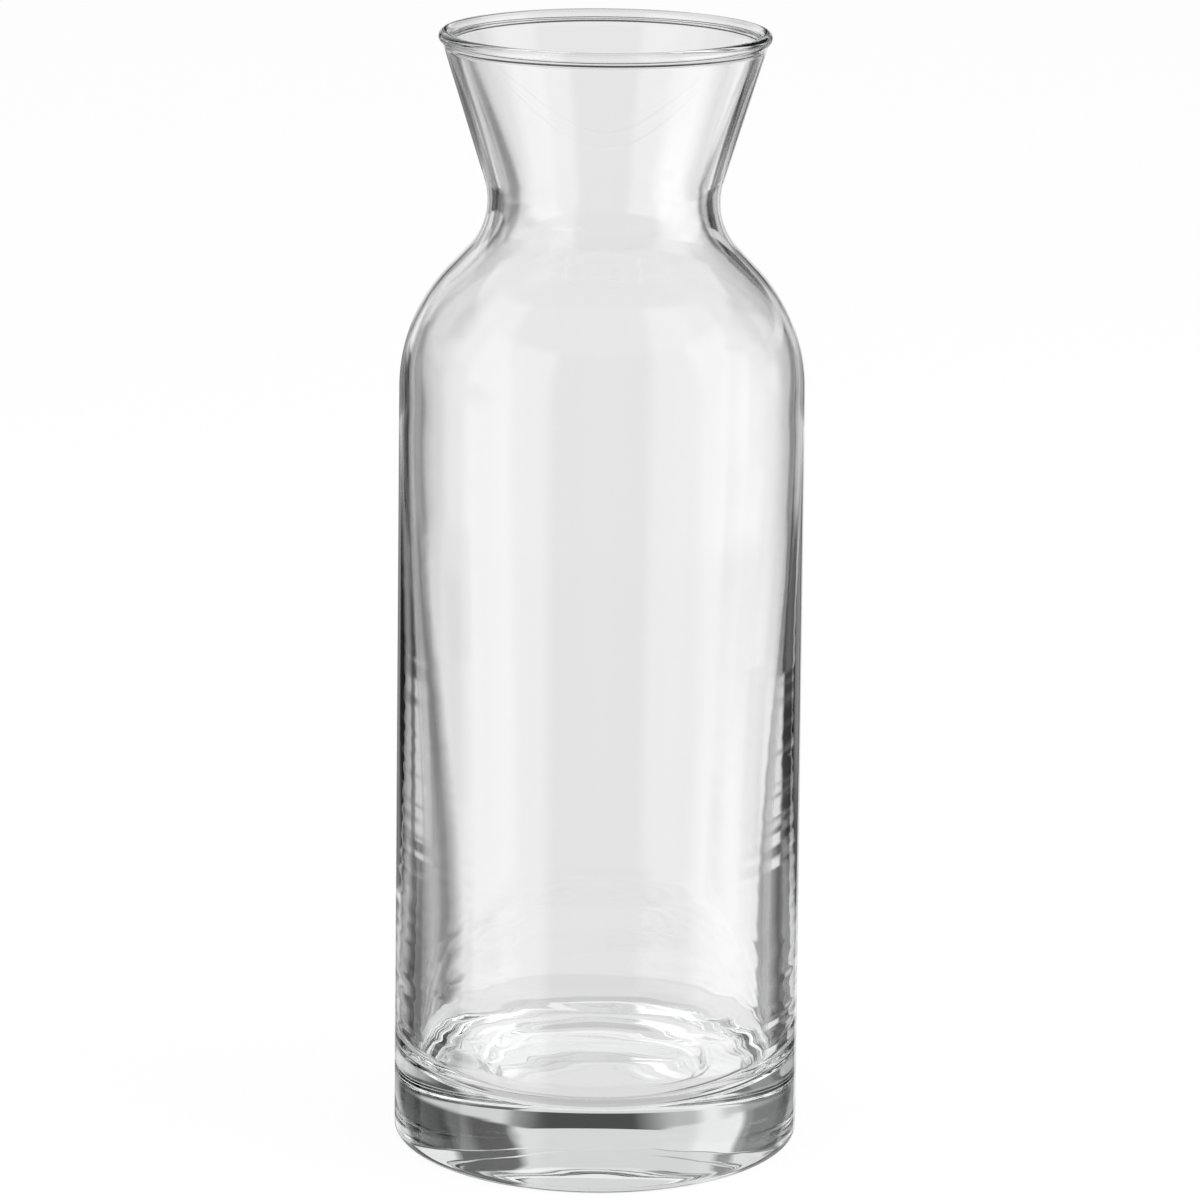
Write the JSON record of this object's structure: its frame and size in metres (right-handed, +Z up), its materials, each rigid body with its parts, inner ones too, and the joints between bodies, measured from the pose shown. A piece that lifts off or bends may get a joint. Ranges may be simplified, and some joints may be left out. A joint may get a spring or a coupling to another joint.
{
  "type": "water carafe",
  "caption": "Clear glass water carafe with a straight body, round shoulder, narrow waist, flared open mouth and a thick solid base.",
  "frame": {"origin": "centre of the foot, on the surface that the carafe stands on", "axes": "+Z up along the axis that the glass is turned round; X and Y are free, because it is round"},
  "size_m": [0.0942, 0.0942, 0.258],
  "materials": {
    "clear_glass": "clear and colourless, fire-polished"
  },
  "bodies": {
    "root": {"carafe_glass": "clear_glass"}
  },
  "joints": []
}
